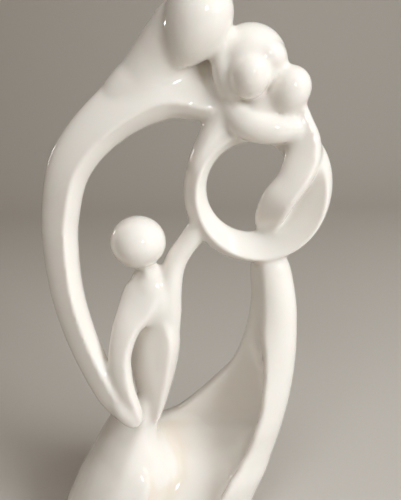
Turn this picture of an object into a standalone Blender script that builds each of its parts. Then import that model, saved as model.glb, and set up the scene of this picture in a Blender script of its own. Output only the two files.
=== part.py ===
"""Family figurine in white glazed porcelain: father, mother, baby and child in one cast piece.

Metres, +Z up. The origin is the centre of the flat underside, and the front faces -Y.
The figures are a free form, so their stations are given in units of a 280th of the height.
"""
import math

import bmesh
import bpy
import numpy as np
from mathutils import Matrix, Vector

# Driving dimensions
HEIGHT = 0.280
FOOT_WIDTH = 0.095
FOOT_DEPTH = 0.060
RING_DIAMETER = 0.0686
RING_HOLE_DIAMETER = 0.0420
RING_DEPTH = 0.0155
ARM_DEPTH = 0.0175
ROBE_WALL = 0.0072
ROBE_EDGE = 0.0034
FOOT_ROUNDING = 0.0012
FILLET_RADIUS = 0.0022

# One unit of the figures' stations, a 280th of the height
UNIT = HEIGHT / 280.0

# The stations are set out from a line this many units to the right of the foot's centre
SETTING_OUT = 4.5

# Fineness of the cast skin
VOXEL = 0.0011
SKIN_TRIANGLES = 9400
SECTION_POINTS = 36
STEPS_BETWEEN_STATIONS = 6
SMOOTHING_PASSES = 3
BURIED = 0.004

# Where the skirt's peak runs out into the robe and the foot, the clay is smoothed further by hand,
# within a reach of two centres, both in the figures' units
HAND_SMOOTHED = (((12.0, -5.0, 42.0), 31.0), ((-6.0, -18.0, 26.0), 26.0))
SKIRT_FILLET_RADIUS = 0.0100
SKIRT_PASSES = 36

NODE_NAME = "family_figurine"


def clear_scene():
    for old in list(bpy.data.objects):
        bpy.data.objects.remove(old, do_unlink=True)


def new_collection(name):
    collection = bpy.data.collections.new(name)
    bpy.context.scene.collection.children.link(collection)
    return collection


def glazed_porcelain():
    material = bpy.data.materials.new("white glazed porcelain")
    material.use_nodes = True
    shader = material.node_tree.nodes["Principled BSDF"]
    shader.inputs["Base Color"].default_value = (0.86, 0.83, 0.79, 1.0)
    shader.inputs["Roughness"].default_value = 0.12
    shader.inputs["Metallic"].default_value = 0.0
    return material


def smooth_rows(rows, steps):
    """Rows of numbers along a smooth curve that passes through every given row."""
    rows = [np.array(row, dtype=float) for row in rows]
    padded = [2 * rows[0] - rows[1]] + rows + [2 * rows[-1] - rows[-2]]
    result = []
    for i in range(1, len(padded) - 2):
        before, start, end, after = padded[i - 1:i + 3]
        for step in range(steps):
            t = step / steps
            bend = 2 * before - 5 * start + 4 * end - after
            twist = 3 * start - before - 3 * end + after
            result.append(start + 0.5 * t * ((end - before) + t * (bend + t * twist)))
    result.append(rows[-1])
    return result


def loft(name, sections, closed=False):
    """One closed body through sections that all have the same number of points."""
    mesh = bmesh.new()
    rings = [[mesh.verts.new(point) for point in section] for section in sections]
    count = len(rings[0])
    pairs = list(zip(rings, rings[1:]))
    if closed:
        pairs.append((rings[-1], rings[0]))
    for lower, upper in pairs:
        for i in range(count):
            j = (i + 1) % count
            mesh.faces.new((lower[i], lower[j], upper[j], upper[i]))
    if not closed:
        mesh.faces.new(rings[0][::-1])
        mesh.faces.new(rings[-1])
    return finish_form(name, mesh)


def finish_form(name, mesh):
    bmesh.ops.recalc_face_normals(mesh, faces=mesh.faces)
    data = bpy.data.meshes.new(name)
    mesh.to_mesh(data)
    mesh.free()
    form = bpy.data.objects.new(name, data)
    form.hide_render = True
    form.display_type = "WIRE"
    forms.objects.link(form)
    return form


def egg(name, centre, radii, lean=0.0, taper=0.0):
    """An egg leaned about Y, narrower at its lower end by the taper."""
    mesh = bmesh.new()
    bmesh.ops.create_uvsphere(mesh, u_segments=48, v_segments=32, radius=1.0)
    for vert in mesh.verts:
        share = 1.0 + taper * vert.co.z
        vert.co = Vector((vert.co.x * radii[0] * share, vert.co.y * radii[1] * share, vert.co.z * radii[2]))
    turn = Matrix.Rotation(math.radians(lean), 3, "Y")
    bmesh.ops.transform(mesh, matrix=turn.to_4x4(), verts=mesh.verts)
    bmesh.ops.scale(mesh, vec=(UNIT,) * 3, verts=mesh.verts)
    bmesh.ops.translate(mesh, vec=Vector(centre) * UNIT, verts=mesh.verts)
    return finish_form(name, mesh)


def ridged_section(half_width, front, back, ridge, sharpness, hollow=0.5):
    """Outline of a limb with a soft ridge along its front: pairs of (across, forward).

    A hollow above one half dishes the side of the front that lies beyond the ridge.
    """
    outline = []
    quarter = SECTION_POINTS // 4
    for i in range(quarter):
        reach = math.cos(0.5 * math.pi * i / quarter)
        across = ridge + (1.0 - ridge) * reach
        outline.append((half_width * across, front * (1.0 - reach ** sharpness) ** hollow))
    for i in range(quarter):
        reach = math.sin(0.5 * math.pi * i / quarter)
        across = ridge - (1.0 + ridge) * reach
        outline.append((half_width * across, front * math.sqrt(1.0 - reach ** sharpness)))
    for i in range(2 * quarter):
        angle = math.pi * (1.0 + i / (2 * quarter))
        outline.append((half_width * math.cos(angle), back * math.sin(angle)))
    return outline


def limb(name, stations, ridge=0.0, sharpness=2.0, hollow=0.5):
    """A limb along stations of (x, y, z, half width, front, back, ridge).

    The ridge is a share of the half width; stations that leave it out take the limb's own.
    """
    rows = smooth_rows([(*station, ridge)[:7] for station in stations], STEPS_BETWEEN_STATIONS)
    centres = [Vector(row[:3]) for row in rows]
    sections = []
    for i, row in enumerate(rows):
        ahead = centres[min(i + 1, len(rows) - 1)]
        behind = centres[max(i - 1, 0)]
        along = (ahead - behind).normalized()
        forward = Vector((0.0, -1.0, 0.0))
        forward = (forward - along * forward.dot(along)).normalized()
        across = along.cross(forward)
        outline = ridged_section(row[3], row[4], row[5], row[6], sharpness, hollow)
        sections.append([(centres[i] + across * u + forward * v) * UNIT for u, v in outline])
    return loft(name, sections)


def father():
    half = 0.5 * ARM_DEPTH / UNIT
    egg("father head", (27.9, -8.0, 262.2), (13.9, 13.4, 18.2), lean=26, taper=0.16)
    limb("father nape", [
        (-14.0, 0.5, 218.0, 8.0, half - 4.5, half - 1.0),
        (-5.6, 0.5, 229.2, 11.8, half - 2.0, half),
        (-0.2, 0.5, 235.0, 12.7, half - 0.8, half),
        (4.8, 0.8, 239.6, 12.7, half + 0.5, half),
        (9.4, 1.0, 245.6, 12.7, half + 2.0, half),
        (13.9, 1.0, 251.6, 12.6, half + 3.5, half),
        (18.6, 0.8, 258.2, 12.2, half + 4.5, half),
        (23.2, -0.5, 265.2, 11.0, half + 3.5, half),
        (28.0, -4.0, 273.0, 6.5, 6.5, 6.5),
    ])
    egg("father far shoulder", (33.0, 4.0, 241.0), (9.0, 6.5, 9.0))
    limb("father arm", [
        (44.0, 3.0, 229.0, 8.0, half - 2, half),
        (33.0, 1.0, 232.0, 10.5, half - 0.5, half),
        (11.5, 0.0, 236.8, 14.0, half + 0.5, half),
        (-12.8, 0.0, 224.0, 11.5, half + 0.5, half),
        (-30.8, 0.0, 204.3, 10.0, half, half),
        (-37.8, 0.0, 181.1, 8.9, half, half),
        (-39.0, -1.0, 161.8, 8.4, half, half),
        (-37.1, -3.0, 139.5, 7.9, half - 0.5, half - 0.5),
        (-31.0, -6.0, 116.7, 7.5, half - 1.5, half - 1.0),
        (-21.4, -10.0, 94.5, 7.0, half - 2.5, half - 2.0),
        (-15.0, -12.0, 84.5, 6.0, half - 3.5, half - 3.0),
        (-9.6, -13.0, 79.0, 4.8, 4.6, 4.6),
    ], ridge=-0.45, sharpness=0.88)
    limb("father hand", [
        (-15.0, -12.0, 88.5, 5.8, 5.0, 5.0),
        (-12.6, -12.6, 84.5, 6.4, 5.2, 5.0),
        (-10.4, -13.0, 81.0, 5.8, 5.0, 5.0),
        (-8.2, -13.0, 77.0, 4.4, 4.2, 4.4),
        (-7.2, -13.0, 75.0, 2.6, 2.6, 2.8),
    ])


def mother():
    egg("mother hair", (50.7, -1.0, 247.2), (16.0, 14.5, 15.4))
    egg("mother hair wave", (57.0, -4.4, 249.2), (9.8, 10.9, 7.8), lean=28)
    limb("mother hair lock", [
        (41.5, -4.0, 255.0, 6.0, 6.0, 5.0),
        (39.6, -5.5, 248.5, 6.0, 6.5, 5.0),
        (39.6, -6.0, 242.0, 5.6, 6.5, 5.0),
        (41.2, -4.6, 236.0, 5.2, 6.0, 5.0),
        (43.6, -2.0, 230.5, 4.6, 5.0, 5.0),
    ])
    egg("mother face", (49.6, -11.0, 240.8), (8.6, 8.6, 9.6), lean=6, taper=0.06)
    limb("mother shoulder", [
        (45.5, 1.0, 236.0, 7.5, 7.5, 8.0),
        (41.5, 0.0, 227.5, 8.0, 7.5, 8.0),
        (37.2, 0.0, 220.3, 7.2, 7.5, 8.0),
        (31.8, 0.0, 212.0, 5.9, 7.5, 7.5),
        (27.3, 0.0, 203.0, 5.0, 6.8, 7.0),
        (26.4, 0.5, 194.0, 4.2, 5.6, 6.0),
        (26.6, 1.0, 185.0, 3.0, 3.6, 4.5),
    ])
    egg("mother chest", (57.0, -2.5, 229.0), (13.0, 7.5, 9.0))
    limb("mother forearm", [
        (41.0, -3.0, 229.0, 5.5, 5.0, 5.0),
        (46.5, -6.8, 222.6, 6.4, 5.2, 5.5),
        (53.5, -8.4, 219.2, 6.6, 5.2, 5.5),
        (62.0, -8.4, 218.2, 6.2, 5.2, 5.2),
        (70.0, -6.0, 218.8, 5.4, 5.0, 5.0),
        (76.0, -2.0, 217.5, 4.0, 4.0, 4.0),
    ])


def ring():
    """A loop that swells behind the baby's shoulder, laps in under its body and dishes to a cradle."""
    outer = 0.5 * RING_DIAMETER / UNIT
    hole = 0.5 * RING_HOLE_DIAMETER / UNIT
    half = 0.5 * RING_DEPTH / UNIT
    centre = Vector((54.1, 0.0, 189.9))
    hole_centre = Vector((51.8, 0.0, 191.3))
    shoulder_angle = math.radians(38)
    lap_angle = math.radians(-15)
    cradle_angle = math.radians(-40)
    count = 96
    sections = []
    for i in range(count):
        angle = 2 * math.pi * i / count
        spoke = Vector((math.cos(angle), 0.0, math.sin(angle)))
        swell = 1.6 * max(0.0, math.cos(angle - shoulder_angle)) ** 6
        rim = centre + spoke * (outer + swell)
        lap = 0.38 * max(0.0, math.cos(angle - lap_angle)) ** 3
        bore = hole_centre + spoke * hole * (1.0 - lap)
        middle = (rim + bore) / 2
        half_width = (rim - bore).length / 2
        inward = (bore - rim).normalized()
        cradle = 0.5 + 0.5 * math.cos(angle - cradle_angle)
        ridge = 0.25 - 1.05 * cradle
        outline = ridged_section(half_width, half, half, ridge, 0.95, 0.5 + 0.9 * cradle ** 2)
        sections.append([(middle + inward * u + Vector((0.0, -v, 0.0))) * UNIT for u, v in outline])
    loft("ring", sections, closed=True)


def baby():
    egg("baby head", (67.0, -6.0, 234.4), (9.2, 9.2, 10.8), lean=22, taper=0.08)
    limb("baby body", [
        (70.5, -4.0, 228.0, 4.5, 5.0, 5.0),
        (72.6, -4.5, 221.0, 5.5, 5.5, 6.0),
        (74.0, -5.0, 213.0, 7.6, 6.5, 7.0),
        (73.4, -6.0, 204.5, 8.2, 7.0, 7.0),
        (69.0, -7.0, 195.0, 7.4, 7.0, 7.0),
        (63.4, -7.0, 187.5, 7.6, 6.3, 7.5),
        (60.6, -5.2, 181.6, 7.4, 4.8, 7.0),
        (59.2, -2.6, 176.5, 6.6, 3.4, 6.0),
        (58.8, 0.4, 171.0, 5.0, 2.4, 4.0),
    ], ridge=-0.55, sharpness=1.1)


def child():
    egg("child head", (-2.0, -3.0, 167.8), (13.2, 12.8, 12.4))
    limb("child body", [
        (0.2, -1.5, 160.0, 5.2, 5.2, 5.0, 0.0),
        (0.8, -1.0, 155.1, 5.5, 5.4, 5.0, 0.0),
        (1.7, -1.0, 149.6, 8.8, 6.0, 6.0, 0.0),
        (2.2, -0.5, 142.3, 12.0, 6.5, 6.5, -0.1),
        (3.4, 0.0, 132.0, 12.4, 7.5, 7.0, -0.3),
        (3.5, 1.0, 122.0, 12.4, 9.2, 7.5, -0.55),
        (2.8, 1.0, 112.0, 12.7, 9.8, 7.5),
        (1.3, 0.5, 96.9, 11.1, 9.0, 7.0),
        (0.3, -0.5, 81.1, 7.1, 7.2, 6.5),
        (-1.3, -1.5, 69.8, 4.2, 5.8, 6.0),
        (-2.4, -2.5, 62.0, 4.4, 5.0, 7.0),
        (-3.0, -1.5, 53.0, 4.6, 5.0, 7.0),
    ], ridge=-0.62, sharpness=1.2, hollow=0.85)
    egg("child breast", (3.0, -1.4, 138.5), (11.6, 8.4, 15.6))
    limb("child chest", [
        (-10.5, -5.0, 124.0, 5.5, 6.0, 4.0),
        (-6.5, -4.5, 131.0, 6.0, 6.2, 4.0),
        (-1.5, -4.0, 136.0, 6.2, 6.4, 4.0),
        (4.0, -3.0, 137.5, 6.2, 6.4, 4.0),
        (9.5, -2.0, 133.0, 5.5, 5.6, 4.0),
        (11.6, -0.5, 124.0, 4.5, 5.0, 4.0),
        (10.4, 1.0, 113.0, 3.6, 4.0, 4.0),
    ], ridge=0.65, sharpness=1.3)
    limb("child left arm", [
        (2.0, -2.0, 149.0, 6.5, 5.5, 5.0),
        (-0.6, -3.2, 142.5, 9.6, 6.8, 5.0),
        (-4.2, -4.8, 135.0, 9.4, 7.0, 5.0),
        (-9.6, -7.6, 126.5, 7.0, 6.5, 5.0),
        (-13.1, -10.5, 115.0, 5.9, 6.0, 4.8),
        (-13.6, -12.0, 105.0, 5.7, 5.5, 4.6),
        (-11.9, -13.0, 94.0, 5.3, 5.2, 4.6),
        (-8.6, -13.0, 82.6, 4.8, 4.8, 4.6),
        (-6.9, -13.0, 77.5, 3.6, 3.8, 3.6),
    ], ridge=-0.6, sharpness=1.3)
    limb("child right arm", [
        (8.8, 0.0, 119.0, 7.0, 6.4, 6.0),
        (9.0, 0.0, 131.0, 8.1, 7.4, 6.0),
        (11.0, 0.0, 142.0, 6.7, 7.4, 6.0),
        (13.1, 0.0, 151.3, 5.8, 6.4, 6.0),
        (16.0, 0.0, 158.5, 5.4, 5.4, 5.4),
        (21.4, 0.0, 166.2, 5.2, 5.2, 5.2),
        (28.5, 0.0, 175.0, 6.0, 5.5, 5.5),
    ])


def skirt_section(level):
    """Outline of the skirt's peak at one height, with a corner at its ridge.

    A level is (z, and x and y of its left side, ridge, right side and back).
    """
    z, left_x, left_y, ridge_x, ridge_y, right_x, right_y, back_x, back_y = level
    arcs = [
        (right_x, right_y, back_x, back_y, 90.0, 1),
        (left_x, left_y, back_x, back_y, 90.0, -1),
        (left_x, left_y, ridge_x, ridge_y, 57.0, 1),
        (right_x, right_y, ridge_x, ridge_y, 57.0, -1),
    ]
    outline = []
    steps = 12
    for side_x, side_y, tip_x, tip_y, reach, way in arcs:
        reach = math.radians(reach)
        arc = []
        for i in range(steps):
            share = i / steps if way > 0 else 1.0 - i / steps
            turn = reach * share
            along = (1.0 - math.cos(turn)) / (1.0 - math.cos(reach))
            x = side_x + (tip_x - side_x) * along
            y = side_y + (tip_y - side_y) * math.sin(turn) / math.sin(reach)
            arc.append(Vector((x, y, z)) * UNIT)
        outline += arc
    return outline


def skirt():
    levels = [
        (24.0, -44.0, 4.0, -23.0, -19.0, 12.0, -2.0, -8.0, 20.0),
        (40.0, -40.0, 4.0, -17.4, -20.6, 12.0, -1.0, -8.0, 23.8),
        (49.0, -35.5, 4.0, -13.8, -18.8, 7.4, -1.0, -7.0, 22.6),
        (56.0, -31.6, 4.0, -11.0, -15.6, 3.4, -1.5, -7.0, 18.6),
        (64.0, -27.2, 4.0, -8.0, -11.0, 1.0, -2.0, -8.0, 13.4),
        (72.0, -21.8, 3.5, -4.8, -7.0, 0.4, -2.0, -7.5, 9.0),
        (80.0, -13.5, 2.0, -3.2, -5.0, 0.0, -2.0, -5.0, 5.0),
        (84.0, -8.0, 1.0, -3.2, -4.0, -0.5, -2.0, -4.0, 3.0),
    ]
    loft("child skirt", [skirt_section(row) for row in smooth_rows(levels, STEPS_BETWEEN_STATIONS)])


def rounded_lip(start, end, bulge):
    """Points of a round edge from one face of a wall to the other."""
    points = []
    steps = 6
    for i in range(1, steps):
        turn = math.pi * i / steps
        points.append(start.lerp(end, 0.5 - 0.5 * math.cos(turn)) + bulge * math.sin(turn))
    return points


def robe_section(level):
    """Outline of the robe at one height: an ellipse with a bay between its two edges.

    A level is (z, centre x, centre y, half width, half depth, angle of the right front edge,
    angle of the other edge, share of the depth down to the wall that the bay takes out).
    """
    z, centre_x, centre_y, half_width, half_depth, start, end, hollow = level
    wall = ROBE_WALL / UNIT
    edge = ROBE_EDGE / UNIT

    def on_ellipse(degrees, inset):
        angle = math.radians(degrees)
        x = centre_x + (half_width - inset) * math.cos(angle)
        y = centre_y + (half_depth - inset) * math.sin(angle)
        return Vector((x, y, z))

    arc_points = 40
    outline = [on_ellipse(start + (end - start) * i / arc_points, 0.0) for i in range(arc_points + 1)]
    right_edge = outline[0]
    left_edge = outline[-1]
    right_way = (outline[0] - outline[1]).normalized()
    left_way = (outline[-1] - outline[-2]).normalized()
    margin = (right_edge - left_edge) * min(0.35, edge / (right_edge - left_edge).length)
    filled_from = 115.0
    filled_over = 50.0
    edge_reach = 45.0
    bay = []
    bay_points = 32
    for i in range(bay_points + 1):
        share = i / bay_points
        degrees = end + (start - end) * share
        chord = (left_edge + margin).lerp(right_edge - margin, share)
        filled = min(1.0, max(0.0, (degrees - filled_from) / filled_over))
        depth = hollow * (0.5 + 0.5 * math.cos(math.pi * filled))
        thickness = edge + (wall - edge) * min(1.0, (degrees - start) / edge_reach)
        bay.append(chord.lerp(on_ellipse(degrees, thickness), depth))
    outline += rounded_lip(left_edge, bay[0], left_way * 0.4 * (bay[0] - left_edge).length * hollow)
    outline += bay
    outline += rounded_lip(bay[-1], right_edge, right_way * 0.4 * (right_edge - bay[-1]).length * hollow)
    return [point * UNIT for point in outline]


def robe():
    half_foot_width = 0.5 * FOOT_WIDTH / UNIT
    half_foot_depth = 0.5 * FOOT_DEPTH / UNIT
    rounding = FOOT_ROUNDING / UNIT
    levels = [
        (-BURIED / UNIT, -SETTING_OUT, 0.0, half_foot_width - 4 * rounding,
         half_foot_depth - 4 * rounding, -88, 268, 0.0),
        (0.0, -SETTING_OUT, 0.0, half_foot_width - rounding,
         half_foot_depth - rounding, -88, 268, 0.0),
        (2.5, -SETTING_OUT + 0.1, 0.0, half_foot_width, half_foot_depth, -86, 266, 0.0),
        (10.0, -2.3, 0.0, half_foot_width + 2.0, half_foot_depth - 0.6, -73, 253, 0.03),
        (20.0, 0.8, 0.0, 51.4, 28.5, -57, 239, 0.10),
        (30.0, 5.0, 0.2, 51.2, 27.5, -56, 238, 0.24),
        (38.0, 8.6, 0.4, 51.0, 26.8, -55, 237, 0.40),
        (43.0, 10.9, 0.8, 50.4, 25.9, -54, 235, 0.52),
        (48.0, 13.5, 1.4, 49.4, 24.7, -51, 225, 0.70),
        (52.0, 15.6, 1.5, 48.6, 23.7, -50, 180, 0.80),
        (57.0, 18.3, 1.5, 47.4, 22.5, -48, 125, 0.91),
        (62.0, 21.9, 1.3, 45.2, 21.5, -48, 108, 0.98),
        (67.0, 26.2, 1.0, 42.0, 20.5, -49, 103, 0.98),
        (80.0, 39.5, 1.5, 31.8, 17.0, -56, 109, 0.85),
        (94.0, 51.3, 1.3, 22.0, 13.4, -72, 121, 0.56),
        (102.0, 56.2, 1.2, 17.8, 12.0, -84, 133, 0.34),
        (110.0, 59.4, 1.0, 15.0, 11.0, -96, 149, 0.17),
        (120.0, 61.4, 1.0, 13.0, 10.2, -110, 162, 0.06),
        (134.0, 62.5, 1.0, 11.3, 9.5, -118, 172, 0.0),
        (152.0, 60.8, 1.0, 9.8, 8.5, -118, 172, 0.0),
        (161.0, 59.5, 1.5, 7.0, 6.0, -118, 172, 0.0),
    ]
    loft("robe", [robe_section(row) for row in smooth_rows(levels, STEPS_BETWEEN_STATIONS)])


def join_forms(name, collection):
    """Joins all forms of the clay into one mesh, with the foot's centre at the origin."""
    joined = bmesh.new()
    for form in forms.objects:
        joined.from_mesh(form.data)
    bmesh.ops.translate(joined, vec=(SETTING_OUT * UNIT, 0.0, 0.0), verts=joined.verts)
    data = bpy.data.meshes.new(name)
    joined.to_mesh(data)
    joined.free()
    figurine = bpy.data.objects.new(name, data)
    collection.objects.link(figurine)
    return figurine


def apply_modifiers(target):
    """Replaces the object's mesh by the one that its modifiers make."""
    depsgraph = bpy.context.evaluated_depsgraph_get()
    result = bpy.data.meshes.new_from_object(target.evaluated_get(depsgraph))
    target.modifiers.clear()
    target.data = result


def fuse_skin(figurine):
    """Fuses the overlapping forms into one skin."""
    remesh = figurine.modifiers.new("one skin", "REMESH")
    remesh.mode = "VOXEL"
    remesh.voxel_size = VOXEL
    apply_modifiers(figurine)


def neighbour_means(points, edges, degree):
    means = np.zeros_like(points)
    for axis in range(3):
        means[:, axis] = np.bincount(edges[:, 0], points[edges[:, 1], axis], len(points))
        means[:, axis] += np.bincount(edges[:, 1], points[edges[:, 0], axis], len(points))
    return means / degree[:, None]


def vertex_normals(points, quads):
    first = points[quads[:, 2]] - points[quads[:, 0]]
    second = points[quads[:, 3]] - points[quads[:, 1]]
    faces = np.cross(first, second)
    normals = np.zeros_like(points)
    for corner in range(4):
        for axis in range(3):
            normals[:, axis] += np.bincount(quads[:, corner], faces[:, axis], len(points))
    return normals / np.maximum(np.linalg.norm(normals, axis=1), 1e-12)[:, None]


def fill_creases(figurine):
    """Fills the creases between forms with clay, to about the fillet radius, and smooths the skin."""
    data = figurine.data
    points = np.empty(len(data.vertices) * 3)
    data.vertices.foreach_get("co", points)
    points = points.reshape(-1, 3)
    edges = np.empty(len(data.edges) * 2, dtype=np.int32)
    data.edges.foreach_get("vertices", edges)
    edges = edges.reshape(-1, 2)
    quads = np.array([polygon.vertices[:] for polygon in data.polygons], dtype=np.int32)
    degree = np.bincount(edges.ravel(), minlength=len(points)).astype(float)
    share = np.zeros(len(points))
    for centre, reach in HAND_SMOOTHED:
        distance = np.linalg.norm(points - np.array(centre) * UNIT, axis=1) / (reach * UNIT)
        share = np.maximum(share, np.clip(2.0 - 2.0 * distance, 0.0, 1.0))
    passes = int(round(2.0 * (FILLET_RADIUS / VOXEL) ** 2))
    broad_passes = int(round(2.0 * (SKIRT_FILLET_RADIUS / VOXEL) ** 2))
    for i in range(passes + broad_passes):
        offset = neighbour_means(points, edges, degree) - points
        normals = vertex_normals(points, quads)
        pull = np.sum(offset * normals, axis=1)
        slide = offset - normals * pull[:, None]
        move = 0.9 * np.maximum(0.0, pull)[:, None] * normals + 0.3 * slide
        points += move if i < passes else move * share[:, None]
    for _ in range(SMOOTHING_PASSES):
        points += 0.5 * (neighbour_means(points, edges, degree) - points)
    for _ in range(SKIRT_PASSES):
        points += 0.5 * share[:, None] * (neighbour_means(points, edges, degree) - points)
    data.vertices.foreach_set("co", points.ravel())
    data.update()


def thin_skin(figurine):
    """Reduces the skin to flat facets that follow its curvature."""
    thin = figurine.modifiers.new("facets", "DECIMATE")
    figurine.data.calc_loop_triangles()
    thin.ratio = SKIN_TRIANGLES / len(figurine.data.loop_triangles)
    thin.use_collapse_triangulate = True
    apply_modifiers(figurine)


def cut_underside(figurine):
    """Cuts the foot flat on the plane of the shelf."""
    mesh = bmesh.new()
    mesh.from_mesh(figurine.data)
    everything = mesh.verts[:] + mesh.edges[:] + mesh.faces[:]
    cut = bmesh.ops.bisect_plane(
        mesh, geom=everything, dist=1e-7, plane_co=(0, 0, 0), plane_no=(0, 0, 1), clear_inner=True)
    rim = [item for item in cut["geom_cut"] if isinstance(item, bmesh.types.BMEdge)]
    bmesh.ops.contextual_create(mesh, geom=rim)
    for vert in mesh.verts:
        if abs(vert.co.z) < 1e-6:
            vert.co.z = 0.0
    mesh.to_mesh(figurine.data)
    mesh.free()


clear_scene()
forms = new_collection("forms of the clay")
part = new_collection("family figurine")
father()
mother()
ring()
baby()
child()
skirt()
robe()
figurine = join_forms(NODE_NAME, part)
fuse_skin(figurine)
fill_creases(figurine)
thin_skin(figurine)
cut_underside(figurine)
figurine.data.materials.clear()
figurine.data.materials.append(glazed_porcelain())
figurine.data.shade_smooth()
figurine.data.set_sharp_from_angle(angle=math.radians(60))
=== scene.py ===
"""Family figurine in white glazed porcelain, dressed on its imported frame.

Metres, +Z up, origin at the centre of the flat underside, front towards -Y.
"""

import math

import bmesh
import bpy
import numpy as np
from mathutils import Matrix, Vector


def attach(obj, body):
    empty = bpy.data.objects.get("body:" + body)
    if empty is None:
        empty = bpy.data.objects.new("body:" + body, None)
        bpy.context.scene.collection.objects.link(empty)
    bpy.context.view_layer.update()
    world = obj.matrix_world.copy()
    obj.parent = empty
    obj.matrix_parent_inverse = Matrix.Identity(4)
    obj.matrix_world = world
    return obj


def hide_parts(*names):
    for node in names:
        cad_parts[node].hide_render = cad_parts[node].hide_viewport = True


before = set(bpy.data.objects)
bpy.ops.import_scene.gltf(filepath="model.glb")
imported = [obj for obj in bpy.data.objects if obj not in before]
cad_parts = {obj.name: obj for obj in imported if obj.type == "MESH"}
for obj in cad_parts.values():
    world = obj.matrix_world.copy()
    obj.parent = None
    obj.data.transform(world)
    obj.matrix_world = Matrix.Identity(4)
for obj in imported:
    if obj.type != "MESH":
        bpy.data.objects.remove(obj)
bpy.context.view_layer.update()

# The family figurine: one hollow piece of slip-cast white porcelain under a clear glossy glaze, fused
# from smooth forms. They follow figure by figure, in units of a 280th of the height, and after them
# come the cast skin over them all, its glaze and its place in the frame
HEIGHT = 0.280
UNIT = HEIGHT / 280.0
clay = bmesh.new()

# Father: a blank egg head, a broad nape and shoulders, and the one arm that sweeps round to the
# child, all modelled as smooth eggs and limbs, with a soft ridge along the front of the arm
ARM_DEPTH = 0.0175 / UNIT
SECTION_POINTS = 48
STEPS_BETWEEN_STATIONS = 8
EGG_SEGMENTS = 64
EGG_RINGS = 44


def smooth_rows(rows, steps):
    """Rows of numbers along a smooth curve that passes through every given row."""
    rows = [np.array(row, dtype=float) for row in rows]
    padded = [2 * rows[0] - rows[1]] + rows + [2 * rows[-1] - rows[-2]]
    result = []
    for i in range(1, len(padded) - 2):
        before, start, end, after = padded[i - 1:i + 3]
        for step in range(steps):
            t = step / steps
            bend = 2 * before - 5 * start + 4 * end - after
            twist = 3 * start - before - 3 * end + after
            result.append(start + 0.5 * t * ((end - before) + t * (bend + t * twist)))
    result.append(rows[-1])
    return result


def loft(sections, closed=False):
    """One closed body of clay through sections that all have the same number of points."""
    rings = [[clay.verts.new(point) for point in section] for section in sections]
    count = len(rings[0])
    pairs = list(zip(rings, rings[1:]))
    if closed:
        pairs.append((rings[-1], rings[0]))
    skin = []
    for lower, upper in pairs:
        for i in range(count):
            j = (i + 1) % count
            skin.append(clay.faces.new((lower[i], lower[j], upper[j], upper[i])))
    if not closed:
        skin.append(clay.faces.new(rings[0][::-1]))
        skin.append(clay.faces.new(rings[-1]))
    bmesh.ops.recalc_face_normals(clay, faces=skin)


def egg(centre, radii, lean=0.0, taper=0.0):
    """An egg leaned about Y, narrower at its lower end by the taper."""
    ball = bmesh.ops.create_uvsphere(clay, u_segments=EGG_SEGMENTS, v_segments=EGG_RINGS, radius=1.0)
    made = ball["verts"]
    for vert in made:
        x, y, z = vert.co
        share = 1.0 + taper * z
        vert.co = Vector((x * radii[0] * share, y * radii[1] * share, z * radii[2]))
    turn = Matrix.Rotation(math.radians(lean), 3, "Y")
    bmesh.ops.transform(clay, matrix=turn.to_4x4(), verts=made)
    bmesh.ops.scale(clay, vec=(UNIT,) * 3, verts=made)
    bmesh.ops.translate(clay, vec=Vector(centre) * UNIT, verts=made)


def ridged_section(half_width, front, back, ridge, sharpness, hollow=0.5):
    """Outline of a limb with a soft ridge along its front: pairs of (across, forward).

    A hollow above one half dishes the side of the front that lies beyond the ridge.
    """
    outline = []
    quarter = SECTION_POINTS // 4
    for i in range(quarter):
        reach = math.cos(0.5 * math.pi * i / quarter)
        across = ridge + (1.0 - ridge) * reach
        outline.append((half_width * across, front * (1.0 - reach ** sharpness) ** hollow))
    for i in range(quarter):
        reach = math.sin(0.5 * math.pi * i / quarter)
        across = ridge - (1.0 + ridge) * reach
        outline.append((half_width * across, front * math.sqrt(1.0 - reach ** sharpness)))
    for i in range(2 * quarter):
        angle = math.pi * (1.0 + i / (2 * quarter))
        outline.append((half_width * math.cos(angle), back * math.sin(angle)))
    return outline


def limb(stations, ridge=0.0, sharpness=2.0, hollow=0.5):
    """A limb along stations of (x, y, z, half width, front, back, ridge).

    The ridge is a share of the half width; stations that leave it out take the limb's own.
    """
    rows = smooth_rows([(*station, ridge)[:7] for station in stations], STEPS_BETWEEN_STATIONS)
    centres = [Vector(row[:3]) for row in rows]
    sections = []
    for i, row in enumerate(rows):
        ahead = centres[min(i + 1, len(rows) - 1)]
        behind = centres[max(i - 1, 0)]
        along = (ahead - behind).normalized()
        forward = Vector((0.0, -1.0, 0.0))
        forward = (forward - along * forward.dot(along)).normalized()
        across = along.cross(forward)
        outline = ridged_section(row[3], row[4], row[5], row[6], sharpness, hollow)
        sections.append([(centres[i] + across * u + forward * v) * UNIT for u, v in outline])
    loft(sections)


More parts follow.
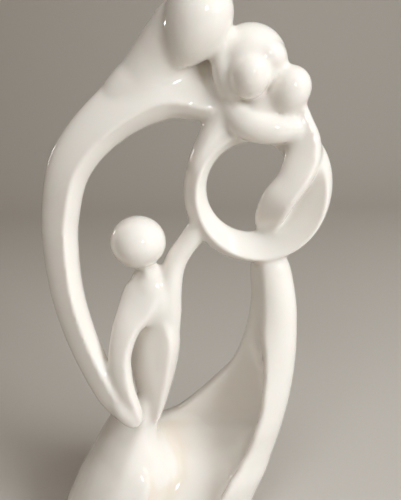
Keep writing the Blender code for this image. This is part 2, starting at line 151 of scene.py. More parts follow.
half = 0.5 * ARM_DEPTH
egg((27.9, -8.0, 262.2), (13.9, 13.4, 18.2), lean=26, taper=0.16)
limb([  # father nape
    (-14.0, 0.5, 218.0, 8.0, half - 4.5, half - 1.0),
    (-5.6, 0.5, 229.2, 11.8, half - 2.0, half),
    (-0.2, 0.5, 235.0, 12.7, half - 0.8, half),
    (4.8, 0.8, 239.6, 12.7, half + 0.5, half),
    (9.4, 1.0, 245.6, 12.7, half + 2.0, half),
    (13.9, 1.0, 251.6, 12.6, half + 3.5, half),
    (18.6, 0.8, 258.2, 12.2, half + 4.5, half),
    (23.2, -0.5, 265.2, 11.0, half + 3.5, half),
    (28.0, -4.0, 273.0, 6.5, 6.5, 6.5),
])
egg((33.0, 4.0, 241.0), (9.0, 6.5, 9.0))
limb([  # father arm
    (44.0, 3.0, 229.0, 8.0, half - 2, half),
    (33.0, 1.0, 232.0, 10.5, half - 0.5, half),
    (11.5, 0.0, 236.8, 14.0, half + 0.5, half),
    (-12.8, 0.0, 224.0, 11.5, half + 0.5, half),
    (-30.8, 0.0, 204.3, 10.0, half, half),
    (-37.8, 0.0, 181.1, 8.9, half, half),
    (-39.0, -1.0, 161.8, 8.4, half, half),
    (-37.1, -3.0, 139.5, 7.9, half - 0.5, half - 0.5),
    (-31.0, -6.0, 116.7, 7.5, half - 1.5, half - 1.0),
    (-21.4, -10.0, 94.5, 7.0, half - 2.5, half - 2.0),
    (-15.0, -12.0, 84.5, 6.0, half - 3.5, half - 3.0),
    (-9.6, -13.0, 79.0, 4.8, 4.6, 4.6),
], ridge=-0.45, sharpness=0.88)
limb([  # father hand
    (-15.0, -12.0, 88.5, 5.8, 5.0, 5.0),
    (-12.6, -12.6, 84.5, 6.4, 5.2, 5.0),
    (-10.4, -13.0, 81.0, 5.8, 5.0, 5.0),
    (-8.2, -13.0, 77.0, 4.4, 4.2, 4.4),
    (-7.2, -13.0, 75.0, 2.6, 2.6, 2.8),
])

# Mother: a ball of hair with a wave and a lock beside the blank face, a chest, a shoulder that runs
# down into the ring, and the forearm laid across the baby, modelled in the same way
egg((50.7, -1.0, 247.2), (16.0, 14.5, 15.4))
egg((57.0, -4.4, 249.2), (9.8, 10.9, 7.8), lean=28)
limb([  # mother hair lock
    (41.5, -4.0, 255.0, 6.0, 6.0, 5.0),
    (39.6, -5.5, 248.5, 6.0, 6.5, 5.0),
    (39.6, -6.0, 242.0, 5.6, 6.5, 5.0),
    (41.2, -4.6, 236.0, 5.2, 6.0, 5.0),
    (43.6, -2.0, 230.5, 4.6, 5.0, 5.0),
])
egg((49.6, -11.0, 240.8), (8.6, 8.6, 9.6), lean=6, taper=0.06)
limb([  # mother shoulder
    (45.5, 1.0, 236.0, 7.5, 7.5, 8.0),
    (41.5, 0.0, 227.5, 8.0, 7.5, 8.0),
    (37.2, 0.0, 220.3, 7.2, 7.5, 8.0),
    (31.8, 0.0, 212.0, 5.9, 7.5, 7.5),
    (27.3, 0.0, 203.0, 5.0, 6.8, 7.0),
    (26.4, 0.5, 194.0, 4.2, 5.6, 6.0),
    (26.6, 1.0, 185.0, 3.0, 3.6, 4.5),
])
egg((57.0, -2.5, 229.0), (13.0, 7.5, 9.0))
limb([  # mother forearm
    (41.0, -3.0, 229.0, 5.5, 5.0, 5.0),
    (46.5, -6.8, 222.6, 6.4, 5.2, 5.5),
    (53.5, -8.4, 219.2, 6.6, 5.2, 5.5),
    (62.0, -8.4, 218.2, 6.2, 5.2, 5.2),
    (70.0, -6.0, 218.8, 5.4, 5.0, 5.0),
    (76.0, -2.0, 217.5, 4.0, 4.0, 4.0),
])

# Ring: a loop with a soft ridge on its front, fused to the mother above and the robe below. It swells
# behind the baby's shoulder, laps in under its body, and widens below into a dished cradle
RING_DIAMETER = 68.6
RING_HOLE_DIAMETER = 42.0
RING_DEPTH = 15.5
RING_SHARPNESS = 0.95
RING_RIDGE = 0.25
RIDGE_SHIFT = 1.05
SHOULDER_SWELL = 1.6
LAP_SHARE = 0.38
CRADLE_HOLLOW = 0.9

outer = 0.5 * RING_DIAMETER
hole = 0.5 * RING_HOLE_DIAMETER
half = 0.5 * RING_DEPTH
centre = Vector((54.1, 0.0, 189.9))
hole_centre = Vector((51.8, 0.0, 191.3))
shoulder_angle = math.radians(38)
lap_angle = math.radians(-15)
cradle_angle = math.radians(-40)
count = 96
sections = []
for i in range(count):
    angle = 2 * math.pi * i / count
    spoke = Vector((math.cos(angle), 0.0, math.sin(angle)))
    swell = SHOULDER_SWELL * max(0.0, math.cos(angle - shoulder_angle)) ** 6
    rim = centre + spoke * (outer + swell)
    lap = LAP_SHARE * max(0.0, math.cos(angle - lap_angle)) ** 3
    bore = hole_centre + spoke * hole * (1.0 - lap)
    middle = (rim + bore) / 2
    half_width = (rim - bore).length / 2
    inward = (bore - rim).normalized()
    cradle = 0.5 + 0.5 * math.cos(angle - cradle_angle)
    ridge = RING_RIDGE - RIDGE_SHIFT * cradle
    hollow = 0.5 + CRADLE_HOLLOW * cradle ** 2
    outline = ridged_section(half_width, half, half, ridge, RING_SHARPNESS, hollow)
    sections.append([(middle + inward * u + Vector((0.0, -v, 0.0))) * UNIT for u, v in outline])
loft(sections, closed=True)

# Baby: a round head and a tapering body with a ridge along its inner side, which lies curled in the
# cradle and is fused to it
egg((67.0, -6.0, 234.4), (9.2, 9.2, 10.8), lean=22, taper=0.08)
limb([  # baby body
    (70.5, -4.0, 228.0, 4.5, 5.0, 5.0),
    (72.6, -4.5, 221.0, 5.5, 5.5, 6.0),
    (74.0, -5.0, 213.0, 7.6, 6.5, 7.0),
    (73.4, -6.0, 204.5, 8.2, 7.0, 7.0),
    (69.0, -7.0, 195.0, 7.4, 7.0, 7.0),
    (63.4, -7.0, 187.5, 7.6, 6.3, 7.5),
    (60.6, -5.2, 181.6, 7.4, 4.8, 7.0),
    (59.2, -2.6, 176.5, 6.6, 3.4, 6.0),
    (58.8, 0.4, 171.0, 5.0, 2.4, 4.0),
], ridge=-0.55, sharpness=1.1)

# Child: a round head and a slim body, hollow beside its ridge, that stands on the skirt's peak, with
# one arm up to the ring and one down to the father's hand
egg((-2.0, -3.0, 167.8), (13.2, 12.8, 12.4))
limb([  # child body
    (0.2, -1.5, 160.0, 5.2, 5.2, 5.0, 0.0),
    (0.8, -1.0, 155.1, 5.5, 5.4, 5.0, 0.0),
    (1.7, -1.0, 149.6, 8.8, 6.0, 6.0, 0.0),
    (2.2, -0.5, 142.3, 12.0, 6.5, 6.5, -0.1),
    (3.4, 0.0, 132.0, 12.4, 7.5, 7.0, -0.3),
    (3.5, 1.0, 122.0, 12.4, 9.2, 7.5, -0.55),
    (2.8, 1.0, 112.0, 12.7, 9.8, 7.5),
    (1.3, 0.5, 96.9, 11.1, 9.0, 7.0),
    (0.3, -0.5, 81.1, 7.1, 7.2, 6.5),
    (-1.3, -1.5, 69.8, 4.2, 5.8, 6.0),
    (-2.4, -2.5, 62.0, 4.4, 5.0, 7.0),
    (-3.0, -1.5, 53.0, 4.6, 5.0, 7.0),
], ridge=-0.62, sharpness=1.2, hollow=0.85)
egg((3.0, -1.4, 138.5), (11.6, 8.4, 15.6))
limb([  # child chest
    (-10.5, -5.0, 124.0, 5.5, 6.0, 4.0),
    (-6.5, -4.5, 131.0, 6.0, 6.2, 4.0),
    (-1.5, -4.0, 136.0, 6.2, 6.4, 4.0),
    (4.0, -3.0, 137.5, 6.2, 6.4, 4.0),
    (9.5, -2.0, 133.0, 5.5, 5.6, 4.0),
    (11.6, -0.5, 124.0, 4.5, 5.0, 4.0),
    (10.4, 1.0, 113.0, 3.6, 4.0, 4.0),
], ridge=0.65, sharpness=1.3)
limb([  # child left arm
    (2.0, -2.0, 149.0, 6.5, 5.5, 5.0),
    (-0.6, -3.2, 142.5, 9.6, 6.8, 5.0),
    (-4.2, -4.8, 135.0, 9.4, 7.0, 5.0),
    (-9.6, -7.6, 126.5, 7.0, 6.5, 5.0),
    (-13.1, -10.5, 115.0, 5.9, 6.0, 4.8),
    (-13.6, -12.0, 105.0, 5.7, 5.5, 4.6),
    (-11.9, -13.0, 94.0, 5.3, 5.2, 4.6),
    (-8.6, -13.0, 82.6, 4.8, 4.8, 4.6),
    (-6.9, -13.0, 77.5, 3.6, 3.8, 3.6),
], ridge=-0.6, sharpness=1.3)
limb([  # child right arm
    (8.8, 0.0, 119.0, 7.0, 6.4, 6.0),
    (9.0, 0.0, 131.0, 8.1, 7.4, 6.0),
    (11.0, 0.0, 142.0, 6.7, 7.4, 6.0),
    (13.1, 0.0, 151.3, 5.8, 6.4, 6.0),
    (16.0, 0.0, 158.5, 5.4, 5.4, 5.4),
    (21.4, 0.0, 166.2, 5.2, 5.2, 5.2),
    (28.5, 0.0, 175.0, 6.0, 5.5, 5.5),
])

# Skirt: the peak below the child, a smooth mound with one ridge down to the foot, which runs out into
# the robe and the foot
BACK_REACH = 90.0
RIDGE_REACH = 57.0
SKIRT_STEPS = 12


def skirt_section(level):
    """Outline of the skirt's peak at one height, with a corner at its ridge.

    A level is (z, and x and y of its left side, ridge, right side and back).
    """
    z, left_x, left_y, ridge_x, ridge_y, right_x, right_y, back_x, back_y = level
    arcs = [
        (right_x, right_y, back_x, back_y, BACK_REACH, 1),
        (left_x, left_y, back_x, back_y, BACK_REACH, -1),
        (left_x, left_y, ridge_x, ridge_y, RIDGE_REACH, 1),
        (right_x, right_y, ridge_x, ridge_y, RIDGE_REACH, -1),
    ]
    outline = []
    for side_x, side_y, tip_x, tip_y, reach, way in arcs:
        reach = math.radians(reach)
        arc = []
        for i in range(SKIRT_STEPS):
            share = i / SKIRT_STEPS if way > 0 else 1.0 - i / SKIRT_STEPS
            turn = reach * share
            along = (1.0 - math.cos(turn)) / (1.0 - math.cos(reach))
            x = side_x + (tip_x - side_x) * along
            y = side_y + (tip_y - side_y) * math.sin(turn) / math.sin(reach)
            arc.append(Vector((x, y, z)) * UNIT)
        outline += arc
    return outline


levels = [
    (24.0, -44.0, 4.0, -23.0, -19.0, 12.0, -2.0, -8.0, 20.0),
    (40.0, -40.0, 4.0, -17.4, -20.6, 12.0, -1.0, -8.0, 23.8),
    (49.0, -35.5, 4.0, -13.8, -18.8, 7.4, -1.0, -7.0, 22.6),
    (56.0, -31.6, 4.0, -11.0, -15.6, 3.4, -1.5, -7.0, 18.6),
    (64.0, -27.2, 4.0, -8.0, -11.0, 1.0, -2.0, -8.0, 13.4),
    (72.0, -21.8, 3.5, -4.8, -7.0, 0.4, -2.0, -7.5, 9.0),
    (80.0, -13.5, 2.0, -3.2, -5.0, 0.0, -2.0, -5.0, 5.0),
    (84.0, -8.0, 1.0, -3.2, -4.0, -0.5, -2.0, -4.0, 3.0),
]
loft([skirt_section(row) for row in smooth_rows(levels, STEPS_BETWEEN_STATIONS)])

# Robe: the stem under the ring, which widens downwards into an open scoop, a wall with thin rounded
# edges that closes at the bottom to the oval foot
ROBE_WALL = 7.2
ROBE_EDGE = 3.4
ROBE_POINTS = 40
BAY_POINTS = 32
FILLED_FROM = 115.0
FILLED_OVER = 50.0
EDGE_REACH = 45.0
MARGIN_SHARE = 0.35
LIP_STEPS = 6
LIP_BULGE = 0.4
FOOT_WIDTH = 95.0
FOOT_DEPTH = 60.0
FOOT_ROUNDING = 1.2
BURIED = 4.0
SETTING_OUT = 4.5


def rounded_lip(start, end, bulge):
    """Points of a round edge from one face of a wall to the other."""
    points = []
    for i in range(1, LIP_STEPS):
        turn = math.pi * i / LIP_STEPS
        points.append(start.lerp(end, 0.5 - 0.5 * math.cos(turn)) + bulge * math.sin(turn))
    return points


def robe_section(level):
    """Outline of the robe at one height: an ellipse with a bay between its two edges.

    A level is (z, centre x, centre y, half width, half depth, angle of the right front edge,
    angle of the other edge, share of the depth down to the wall that the bay takes out).
    """
    z, centre_x, centre_y, half_width, half_depth, start, end, hollow = level

    def on_ellipse(degrees, inset):
        angle = math.radians(degrees)
        x = centre_x + (half_width - inset) * math.cos(angle)
        y = centre_y + (half_depth - inset) * math.sin(angle)
        return Vector((x, y, z))

    turn = end - start
    outline = [on_ellipse(start + turn * i / ROBE_POINTS, 0.0) for i in range(ROBE_POINTS + 1)]
    right_edge = outline[0]
    left_edge = outline[-1]
    right_way = (outline[0] - outline[1]).normalized()
    left_way = (outline[-1] - outline[-2]).normalized()
    gap = right_edge - left_edge
    margin = gap * min(MARGIN_SHARE, ROBE_EDGE / gap.length)
    bay = []
    for i in range(BAY_POINTS + 1):
        share = i / BAY_POINTS
        degrees = end + (start - end) * share
        chord = (left_edge + margin).lerp(right_edge - margin, share)
        filled = min(1.0, max(0.0, (degrees - FILLED_FROM) / FILLED_OVER))
        depth = hollow * (0.5 + 0.5 * math.cos(math.pi * filled))
        thickness = ROBE_EDGE + (ROBE_WALL - ROBE_EDGE) * min(1.0, (degrees - start) / EDGE_REACH)
        bay.append(chord.lerp(on_ellipse(degrees, thickness), depth))
    left_bulge = left_way * LIP_BULGE * (bay[0] - left_edge).length * hollow
    right_bulge = right_way * LIP_BULGE * (right_edge - bay[-1]).length * hollow
    outline += rounded_lip(left_edge, bay[0], left_bulge)
    outline += bay
    outline += rounded_lip(bay[-1], right_edge, right_bulge)
    return [point * UNIT for point in outline]


half_width = 0.5 * FOOT_WIDTH
half_depth = 0.5 * FOOT_DEPTH
tucked = 4 * FOOT_ROUNDING
levels = [
    (-BURIED, -SETTING_OUT, 0.0, half_width - tucked, half_depth - tucked, -88, 268, 0.0),
    (0.0, -SETTING_OUT, 0.0, half_width - FOOT_ROUNDING, half_depth - FOOT_ROUNDING, -88, 268, 0.0),
    (2.5, -SETTING_OUT + 0.1, 0.0, half_width, half_depth, -86, 266, 0.0),
    (10.0, -2.3, 0.0, half_width + 2.0, half_depth - 0.6, -73, 253, 0.03),
    (20.0, 0.8, 0.0, 51.4, 28.5, -57, 239, 0.10),
    (30.0, 5.0, 0.2, 51.2, 27.5, -56, 238, 0.24),
    (38.0, 8.6, 0.4, 51.0, 26.8, -55, 237, 0.40),
    (43.0, 10.9, 0.8, 50.4, 25.9, -54, 235, 0.52),
    (48.0, 13.5, 1.4, 49.4, 24.7, -51, 225, 0.70),
    (52.0, 15.6, 1.5, 48.6, 23.7, -50, 180, 0.80),
    (57.0, 18.3, 1.5, 47.4, 22.5, -48, 125, 0.91),
    (62.0, 21.9, 1.3, 45.2, 21.5, -48, 108, 0.98),
    (67.0, 26.2, 1.0, 42.0, 20.5, -49, 103, 0.98),
    (80.0, 39.5, 1.5, 31.8, 17.0, -56, 109, 0.85),
    (94.0, 51.3, 1.3, 22.0, 13.4, -72, 121, 0.56),
    (102.0, 56.2, 1.2, 17.8, 12.0, -84, 133, 0.34),
    (110.0, 59.4, 1.0, 15.0, 11.0, -96, 149, 0.17),
    (120.0, 61.4, 1.0, 13.0, 10.2, -110, 162, 0.06),
    (134.0, 62.5, 1.0, 11.3, 9.5, -118, 172, 0.0),
    (152.0, 60.8, 1.0, 9.8, 8.5, -118, 172, 0.0),
    (161.0, 59.5, 1.5, 7.0, 6.0, -118, 172, 0.0),
]
loft([robe_section(row) for row in smooth_rows(levels, STEPS_BETWEEN_STATIONS)])

bmesh.ops.translate(clay, vec=(SETTING_OUT * UNIT, 0.0, 0.0), verts=clay.verts)
figurine = bpy.data.objects.new("glazed_figurine", bpy.data.meshes.new("glazed_figurine"))
clay.to_mesh(figurine.data)
clay.free()
bpy.context.scene.collection.objects.link(figurine)


class Wire:
    """One socket of a node tree. Arithmetic on it adds the Math nodes that work it out."""

    def __init__(self, nodes, socket):
        self.nodes = nodes
        self.socket = socket

    def reckon(self, operation, *others, output=0):
        values = (self, *others)
        vector = any(isinstance(value, Wire) and value.socket.type == "VECTOR" for value in values)
        kind = "ShaderNodeVectorMath" if vector else "ShaderNodeMath"
        return self.nodes.add(kind, {"operation": operation}, dict(enumerate(values)), output)

    def __add__(self, other):
        return self.reckon("ADD", other)

    __radd__ = __add__

    def __sub__(self, other):
        return self.reckon("SUBTRACT", other)

    def __rsub__(self, other):
        return (self * -1.0) + other

    def __mul__(self, other):
        return self.reckon("MULTIPLY", other)

    __rmul__ = __mul__

    def __truediv__(self, other):
        return self.reckon("DIVIDE", other)

    def dot(self, other):
        return self.reckon("DOT_PRODUCT", other, output="Value")

    def length(self):
        return self.reckon("LENGTH", output="Value")

    def at_least(self, other):
        return self.reckon("MAXIMUM", other)

    def at_most(self, other):
        return self.reckon("MINIMUM", other)

    def rise(self, start, end):
        """0 up to the start and 1 from the end on, with a smooth rise between."""
        settings = {"interpolation_type": "SMOOTHSTEP"}
        values = {"Value": self, "From Min": start, "From Max": end}
        return self.nodes.add("ShaderNodeMapRange", settings, values)


class Nodes:
    """The nodes of one tree, each added by its kind, its settings and what its sockets get."""

    def __init__(self, tree):
        self.tree = tree
        self.tree.nodes.clear()

    def feed(self, socket, value):
        if isinstance(value, Wire):
            self.tree.links.new(value.socket, socket)
        elif isinstance(value, (int, float)) and socket.type in ("VECTOR", "RGBA"):
            socket.default_value = (value,) * len(socket.default_value)
        else:
            socket.default_value = value

    def add(self, kind, settings=None, values=None, output=0):
        node = self.tree.nodes.new(kind)
        for name, setting in (settings or {}).items():
            setattr(node, name, setting)
        for name, value in (values or {}).items():
            self.feed(node.inputs[name], value)
        return Wire(self, node.outputs[output]) if len(node.outputs) else node


# The cast skin: where two forms meet, slip and glaze fill the crease to a soft fillet, broader by hand
# within the reach of two centres at the skirt. The tree lets only hollow places flow outwards, and
# notes where the creases were filled, for pooled glaze and painted shade there, and where glaze runs
# thin
SKIN_VOXEL = 0.0009
FILLET_RADIUS = 0.0022
HAND_SMOOTHED = (((0.012, -0.005, 0.042), 0.031), ((-0.006, -0.018, 0.026), 0.026))
SKIRT_FILLET_RADIUS = 0.0100
PASSES_PER_SQUARE = 2.0
SKIRT_PASSES = 46
SMOOTHING_PASSES = 2
POOL_AND_SHADE_PASSES = 3
RIDGE_PASSES = 10
THIN_PASSES = 2
FILL = 1.1
SLIDE = 0.35

remesh = figurine.modifiers.new("one skin", "REMESH")
remesh.mode = "VOXEL"
remesh.voxel_size = SKIN_VOXEL

flow = bpy.data.node_groups.new("creases filled by slip and glaze", "GeometryNodeTree")
shape = Nodes(flow)
for name, kind in (
    ("Skin", "NodeSocketGeometry"),
    ("Crease passes", "NodeSocketInt"),
    ("Smoothing passes", "NodeSocketInt"),
    ("Broad passes", "NodeSocketInt"),
    ("Skirt passes", "NodeSocketInt"),
    ("Fill", "NodeSocketFloat"),
    ("Slide", "NodeSocketFloat"),
    ("Fillet radius", "NodeSocketFloat"),
    ("Glaze", "NodeSocketMaterial"),
):
    flow.interface.new_socket(name, in_out="INPUT", socket_type=kind)
flow.interface.new_socket("Skin", in_out="OUTPUT", socket_type="NodeSocketGeometry")
given = flow.nodes.new("NodeGroupInput")
entry = {socket.name: Wire(shape, socket) for socket in given.outputs if socket.name}


def value_socket(node):
    """The input for the value, of the several that the node has for different data types."""
    return [socket for socket in node.inputs if socket.name == "Value" and socket.enabled][0]


def blurred(value, passes, data_type="FLOAT_VECTOR", weight=1.0):
    """A value evened out over the skin by some passes."""
    node = flow.nodes.new("GeometryNodeBlurAttribute")
    node.data_type = data_type
    shape.feed(value_socket(node), value)
    shape.feed(node.inputs["Iterations"], passes)
    shape.feed(node.inputs["Weight"], weight)
    return Wire(shape, [socket for socket in node.outputs if socket.enabled][0])


def noted(skin, name, value, data_type="FLOAT"):
    """The skin with a value noted on each of its points under a name."""
    node = flow.nodes.new("GeometryNodeStoreNamedAttribute")
    node.data_type = data_type
    node.domain = "POINT"
    node.inputs["Name"].default_value = name
    shape.feed(node.inputs["Geometry"], skin)
    shape.feed(value_socket(node), value)
    return Wire(shape, node.outputs["Geometry"])


place = shape.add("GeometryNodeInputPosition")
normal = shape.add("GeometryNodeInputNormal")
skin = noted(entry["Skin"], "cast place", place, "FLOAT_VECTOR")


def closeness(centre, reach):
    """1 halfway out to the reach of a centre and 0 at the reach, before it is limited to these."""
    return 2.0 - (place - centre).length() * (2.0 / reach)


def moved(skin, socket, value):
    """The skin with its points set to a position or moved by an offset."""
    return shape.add("GeometryNodeSetPosition", {}, {"Geometry": skin, socket: value})


def filled_skin(skin, passes, share):
    """The skin after some passes in which its hollow places flow outwards, by a share of each."""
    start = flow.nodes.new("GeometryNodeRepeatInput")
    end = flow.nodes.new("GeometryNodeRepeatOutput")
    start.pair_with_output(end)
    end.repeat_items.clear()
    end.repeat_items.new("GEOMETRY", "Skin")
    shape.feed(start.inputs["Iterations"], passes)
    shape.feed(start.inputs["Skin"], skin)
    pull = blurred(place, 1) - place
    outwards = pull.dot(normal)
    along = pull - normal * outwards
    step = (normal * (outwards.at_least(0.0) * entry["Fill"]) + along * entry["Slide"]) * share
    shape.feed(end.inputs["Skin"], moved(Wire(shape, start.outputs["Skin"]), "Offset", step))
    return Wire(shape, end.outputs["Skin"])


near = [closeness(centre, reach) for centre, reach in HAND_SMOOTHED]
at_skirt = near[0].at_least(near[1]).at_least(0.0).at_most(1.0)
skin = filled_skin(skin, entry["Crease passes"], 1.0)
skin = filled_skin(skin, entry["Broad passes"], at_skirt)
cast_place = shape.add(
    "GeometryNodeInputNamedAttribute", {"data_type": "FLOAT_VECTOR"}, {"Name": "cast place"})
filled = (place - cast_place).length() / entry["Fillet radius"]
# How deep each crease was filled: the mask for real pooled glaze and for painted shade in the creases
skin = noted(skin, "pool", blurred(filled, POOL_AND_SHADE_PASSES, "FLOAT"))
skin = moved(skin, "Position", blurred(place, entry["Smoothing passes"]))
skin = moved(skin, "Position", blurred(place, entry["Skirt passes"], weight=at_skirt))
proud = (place - blurred(place, RIDGE_PASSES)).dot(normal) / entry["Fillet radius"]
skin = noted(skin, "thin", blurred(proud, THIN_PASSES, "FLOAT"))
skin = shape.add("GeometryNodeRemoveAttribute", {}, {"Geometry": skin, "Name": "cast place"})
skin = shape.add("GeometryNodeSetShadeSmooth", {}, {"Geometry": skin})
skin = shape.add("GeometryNodeRealizeInstances", {}, {"Geometry": skin})
skin = shape.add("GeometryNodeSetMaterial", {}, {"Geometry": skin, "Material": entry["Glaze"]})
final = flow.nodes.new("NodeGroupOutput")
shape.feed(final.inputs[0], skin)

# The glaze: clear and glossy over warm white porcelain. It is creamier where it pooled, with painted
# warm shade laid into the same creases, a little whiter where it ran thin over the ridges, faintly
# mottled, with soft waves, a few fine specks and pinholes, and it is wiped off the foot, where the
# fired clay shows matt
PORCELAIN = (0.87, 0.825, 0.765, 1.0)
MOTTLE = (0.84, 0.795, 0.735, 1.0)
# Creamy pooled glaze, made darker and warmer still as painted shade in the creases
POOLED_GLAZE_AND_SHADE = (0.80, 0.71, 0.60, 1.0)
OVER_RIDGES = (0.90, 0.88, 0.85, 1.0)
SPECK = (0.36, 0.27, 0.19, 1.0)
BISQUE = (0.74, 0.70, 0.64, 1.0)
GLOSS = 0.09
WAVE_HEIGHT = 0.00022
RIPPLE_HEIGHT = 0.000012
PINHOLE_DEPTH = 0.00006
WIPED_BELOW = 0.0011
GLAZED_ABOVE = 0.0017
WIPING_WAVER = 0.0006

glaze = bpy.data.materials.new("white porcelain glaze")
glaze.use_nodes = True
paint = Nodes(glaze.node_tree)


def mixed(factor, first, second):
    """A colour between two, by a factor."""
    values = {0: factor, 6: first, 7: second}
    return paint.add("ShaderNodeMix", {"data_type": "RGBA"}, values, 2)


coordinates = paint.add("ShaderNodeTexCoord", {}, {}, "Object")
centred = paint.add("ShaderNodeMapping", {}, {"Vector": coordinates, "Location": (0.0, 0.0, -0.14)})
height = paint.add("ShaderNodeSeparateXYZ", {}, {"Vector": coordinates}, "Z")
pool = paint.add("ShaderNodeAttribute", {"attribute_name": "pool"}, {}, "Fac").rise(0.05, 0.9)
thin = paint.add("ShaderNodeAttribute", {"attribute_name": "thin"}, {}, "Fac").rise(0.25, 0.8)


def noise(scale, detail=2.0):
    """Soft clouds from 0 to 1, finer for a larger scale."""
    return paint.add("ShaderNodeTexNoise", {}, {"Vector": centred, "Scale": scale, "Detail": detail})


def dots(scale, size, share):
    """Round dots in a share of the cells of a scatter, 1 inside and 0 outside."""
    cells = {"Vector": centred, "Scale": scale}
    distance = paint.add("ShaderNodeTexVoronoi", {}, cells, "Distance")
    tint = paint.add("ShaderNodeTexVoronoi", {}, cells, "Color")
    pick = paint.add("ShaderNodeSeparateColor", {}, {"Color": tint}, "Red")
    chosen = 1.0 - pick.rise(share, share + 0.01)
    return chosen * (1.0 - distance.rise(0.6 * size, size))


cloud = noise(22.0, detail=3.0).rise(0.35, 0.65)
specks = dots(150.0, size=0.042, share=0.035)
pinholes = dots(230.0, size=0.06, share=0.03)
wiped = 1.0 - (height + noise(120.0) * WIPING_WAVER).rise(WIPED_BELOW, GLAZED_ABOVE)

colour = mixed(cloud * 0.25, PORCELAIN, MOTTLE)
colour = mixed(thin * 0.6, colour, OVER_RIDGES)
# In the creases: real pooled glaze together with painted warm shade
colour = mixed(pool * 0.75, colour, POOLED_GLAZE_AND_SHADE)
colour = mixed(specks * 0.8, colour, SPECK)
colour = mixed(wiped, colour, BISQUE)
roughness = noise(60.0).rise(0.3, 0.7) * 0.05 + GLOSS + pinholes * 0.15 + wiped * 0.5
waves = noise(34.0, detail=1.0) * WAVE_HEIGHT + noise(260.0) * RIPPLE_HEIGHT - pinholes * PINHOLE_DEPTH
bump = paint.add("ShaderNodeBump", {}, {"Height": waves, "Strength": 0.6, "Distance": 1.0})
shader = paint.add("ShaderNodeBsdfPrincipled", {}, {
    "Base Color": colour,
    "Roughness": roughness,
    "Normal": bump,
    "Coat Weight": (1.0 - wiped) * 0.6,
    "Coat Roughness": 0.04,
    "IOR": 1.5,
    "Subsurface Weight": 0.12,
    "Subsurface Scale": 0.004,
})
paint.add("ShaderNodeOutputMaterial", {}, {"Surface": shader})

settings = figurine.modifiers.new("creases filled", "NODES")
settings.node_group = flow
wanted = {
    "Crease passes": round(PASSES_PER_SQUARE * (FILLET_RADIUS / SKIN_VOXEL) ** 2),
    "Broad passes": round(PASSES_PER_SQUARE * (SKIRT_FILLET_RADIUS / SKIN_VOXEL) ** 2),
    "Smoothing passes": SMOOTHING_PASSES,
    "Skirt passes": SKIRT_PASSES,
    "Fill": FILL,
    "Slide": SLIDE,
    "Fillet radius": FILLET_RADIUS,
    "Glaze": glaze,
}
for item in flow.interface.items_tree:
    if item.in_out == "INPUT" and item.name in wanted:
        settings[item.identifier] = wanted[item.name]
depsgraph = bpy.context.evaluated_depsgraph_get()
cast = bpy.data.meshes.new_from_object(figurine.evaluated_get(depsgraph))
figurine.modifiers.clear()
figurine.data = cast

# The foot is ground flat at the underside
ON_THE_PLANE = 1e-6
SHARP_FROM = math.radians(60)
ground = bmesh.new()
ground.from_mesh(figurine.data)
everything = ground.verts[:] + ground.edges[:] + ground.faces[:]
cut = bmesh.ops.bisect_plane(
    ground, geom=everything, dist=1e-7, plane_co=(0, 0, 0), plane_no=(0, 0, 1), clear_inner=True)
rim = [item for item in cut["geom_cut"] if isinstance(item, bmesh.types.BMEdge)]
bmesh.ops.contextual_create(ground, geom=rim)
for vert in ground.verts:
    if abs(vert.co.z) < ON_THE_PLANE:
        vert.co.z = 0.0
ground.to_mesh(figurine.data)
ground.free()
figurine.data.shade_smooth()
figurine.data.set_sharp_from_angle(angle=SHARP_FROM)

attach(figurine, "root")
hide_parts("family_figurine")

# The floor: one pale matt sheet that lies flat under the figurine, runs back and curves up behind
# it, with no edge in view
FLOOR_FRONT = -1.6
SWEEP_START = 0.75
SWEEP_RADIUS = 0.55
SWEEP_STEPS = 24
SHEET_TOP = 2.2
SHEET_HALF_WIDTH = 2.2
SHEET_DARK = (0.60, 0.56, 0.51, 1.0)
SHEET_LIGHT = (0.62, 0.58, 0.53, 1.0)
profile = [(FLOOR_FRONT, 0.0), (SWEEP_START, 0.0)]
for i in range(1, SWEEP_STEPS + 1):
    turn = 0.5 * math.pi * i / SWEEP_STEPS
    back = SWEEP_START + SWEEP_RADIUS * math.sin(turn)
    profile.append((back, SWEEP_RADIUS * (1.0 - math.cos(turn))))
profile.append((SWEEP_START + SWEEP_RADIUS, SHEET_TOP))
sheet = bmesh.new()
left = [sheet.verts.new((-SHEET_HALF_WIDTH, y, z)) for y, z in profile]
right = [sheet.verts.new((SHEET_HALF_WIDTH, y, z)) for y, z in profile]
for i in range(len(profile) - 1):
    sheet.faces.new((left[i], right[i], right[i + 1], left[i + 1]))
floor = bpy.data.objects.new("floor_sheet", bpy.data.meshes.new("floor_sheet"))
sheet.to_mesh(floor.data)
sheet.free()
floor.data.shade_smooth()
bpy.context.scene.collection.objects.link(floor)
paper = bpy.data.materials.new("pale matt sheet")
paper.use_nodes = True
dye = Nodes(paper.node_tree)
spread = dye.add("ShaderNodeTexCoord", {}, {}, "Object")
grain = dye.add("ShaderNodeTexNoise", {}, {"Vector": spread, "Scale": 300.0})
tone = dye.add("ShaderNodeMix", {"data_type": "RGBA"}, {0: grain, 6: SHEET_DARK, 7: SHEET_LIGHT}, 2)
matt = dye.add("ShaderNodeBsdfPrincipled", {}, {"Base Color": tone, "Roughness": 0.85})
dye.add("ShaderNodeOutputMaterial", {}, {"Surface": matt})
floor.data.materials.append(paper)

# Soft studio light: a large window from the right that shows only faintly in the glaze, a ceiling
# light, a weak one in front, a dim warm room all round, and two small lamps that show only as bright
# dots and lines in the glaze
ROOM_COLOUR = (0.50, 0.36, 0.215, 1.0)
ROOM_STRENGTH = 0.22
WINDOW_PLACE = (1.08, -0.76, 0.74)
WHITE = (1.0, 1.0, 1.0)
world = bpy.data.worlds.new("dim warm room")
bpy.context.scene.world = world
world.use_nodes = True
world.node_tree.nodes["Background"].inputs["Color"].default_value = ROOM_COLOUR
world.node_tree.nodes["Background"].inputs["Strength"].default_value = ROOM_STRENGTH


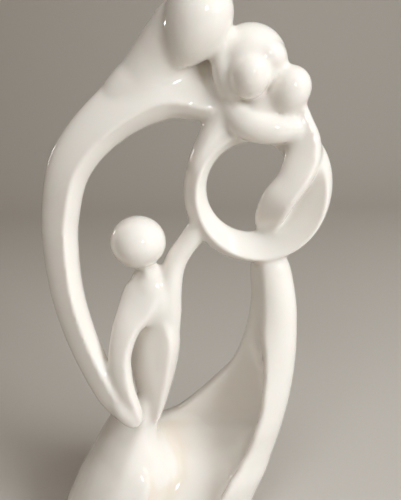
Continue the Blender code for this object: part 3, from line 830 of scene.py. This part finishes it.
def lamp(name, place, aim_height, size, power, colour, lights=True, mirrored=True):
    """A lamp that lights the scene, and whose face shows in the glaze if it is mirrored."""
    light = bpy.data.lights.new(name, "AREA")
    light.shape = "RECTANGLE"
    light.size, light.size_y = size
    light.energy = power
    light.color = colour
    holder = bpy.data.objects.new(name, light)
    holder.location = place
    aim = Vector((0.0, 0.0, aim_height))
    holder.rotation_euler = (aim - Vector(place)).to_track_quat("-Z", "Y").to_euler()
    holder.visible_diffuse = lights
    holder.visible_glossy = mirrored
    bpy.context.scene.collection.objects.link(holder)


lamp("window light", WINDOW_PLACE, 0.16, (0.7, 0.7), 18.0, (0.91, 0.96, 1.0), mirrored=False)
lamp("window in the glaze", WINDOW_PLACE, 0.16, (0.7, 0.9), 4.0, WHITE, lights=False)
lamp("ceiling light", (0.3, -0.35, 1.20), 0.24, (0.6, 0.6), 4.5, (0.97, 0.99, 1.0), mirrored=False)
lamp("front light", (-0.16, -0.55, 0.66), 0.25, (0.25, 0.25), 1.0, (0.93, 0.97, 1.0), mirrored=False)
lamp("camera lamp", (0.42, -0.90, 0.50), 0.16, (0.10, 0.14), 0.7, WHITE, lights=False)
lamp("small lamp", (-0.70, 0.52, 0.34), 0.16, (0.05, 0.14), 0.4, (1.0, 0.98, 0.95), lights=False)

# The camera: close in front and a little above, turned down and slightly over to one side at the
# photograph's viewing angle
PITCH = math.radians(17.5)
ROLL = math.radians(-1.6)
CAMERA_PLACE = (0.0317, -0.2550, 0.2424)
LENS_LENGTH = 40.32
SENSOR_HEIGHT = 36.0
lens = bpy.data.cameras.new("camera")
lens.sensor_fit = "VERTICAL"
lens.sensor_height = SENSOR_HEIGHT
lens.lens = LENS_LENGTH
lens.clip_start = 0.01
ahead = Vector((0.0, math.cos(PITCH), -math.sin(PITCH)))
above = Vector((0.0, math.sin(PITCH), math.cos(PITCH)))
beside = Vector((1.0, 0.0, 0.0))
right_way = beside * math.cos(ROLL) + above * math.sin(ROLL)
up_way = above * math.cos(ROLL) - beside * math.sin(ROLL)
camera = bpy.data.objects.new("camera", lens)
camera.matrix_world = Matrix((right_way, up_way, -ahead)).transposed().to_4x4()
camera.location = CAMERA_PLACE
bpy.context.scene.collection.objects.link(camera)
bpy.context.scene.camera = camera
bpy.context.scene.view_settings.view_transform = "Standard"
